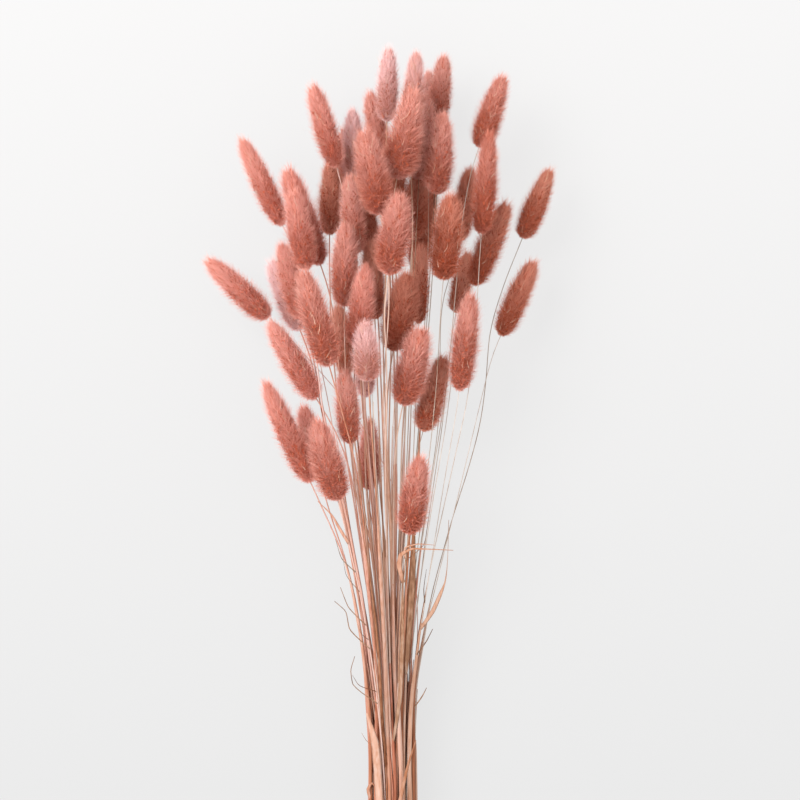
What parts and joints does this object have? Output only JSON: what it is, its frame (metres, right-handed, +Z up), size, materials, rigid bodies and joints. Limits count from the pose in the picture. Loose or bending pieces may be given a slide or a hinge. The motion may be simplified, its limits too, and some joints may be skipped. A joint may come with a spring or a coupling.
{
  "type": "bunch of dried bunny tail grass",
  "caption": "Cut, dried and dyed bunch of bunny tail grass lying on a surface: soft oval seed heads on thin sheathed stems, held by a twine tie.",
  "frame": {"origin": "on the surface that the bunch lies on, under the middle of its bounding box", "axes": "+Y along the bunch from the cut ends to the heads, +X across it to the right seen from above, +Z up from the surface"},
  "size_m": [0.1758, 0.4984, 0.1005],
  "materials": {
    "head_salmon": "soft matte hairs",
    "head_pink": "soft matte hairs",
    "head_deep": "soft matte hairs",
    "head_pale": "soft matte hairs",
    "stem_tan": "dry and matte, lightly ribbed",
    "stem_rose": "dry and matte, lightly ribbed",
    "twine": "matte twisted fibre"
  },
  "bodies": {
    "root": {"head_01": "head_salmon", "head_02": "head_salmon", "head_03": "head_salmon", "head_04": "head_salmon", "head_05": "head_salmon", "head_06": "head_pink", "head_07": "head_salmon", "head_08": "head_salmon", "head_09": "head_salmon", "head_10": "head_pink", "head_11": "head_salmon", "head_12": "head_pale", "head_13": "head_deep", "head_14": "head_pale", "head_15": "head_pink", "head_16": "head_pink", "head_17": "head_pale", "head_18": "head_pale", "head_19": "head_pink", "head_20": "head_pink", "head_21": "head_pink", "head_22": "head_pink", "head_23": "head_pink", "head_24": "head_pink", "head_25": "head_deep", "head_26": "head_pink", "head_27": "head_deep", "head_28": "head_deep", "head_29": "head_deep", "head_30": "head_deep", "head_31": "head_pink", "head_32": "head_deep", "head_33": "head_deep", "head_34": "head_deep", "head_35": "head_pink", "head_36": "head_pink", "head_37": "head_deep", "head_38": "head_deep", "head_39": "head_deep", "head_40": "head_deep", "head_41": "head_pink", "head_42": "head_deep", "head_43": "head_pink", "head_44": "head_deep", "head_45": "head_pale", "head_46": "head_salmon", "head_47": "head_pink", "head_48": "head_deep", "head_49": "head_pink", "head_50": "head_pale", "head_51": "head_pink", "head_52": "head_pink", "stems_01": "stem_tan", "stems_02": "stem_rose", "stems_03": "stem_tan", "stems_04": "stem_rose", "stems_05": "stem_tan", "stems_06": "stem_rose", "twine_tie": "twine"}
  },
  "joints": []
}
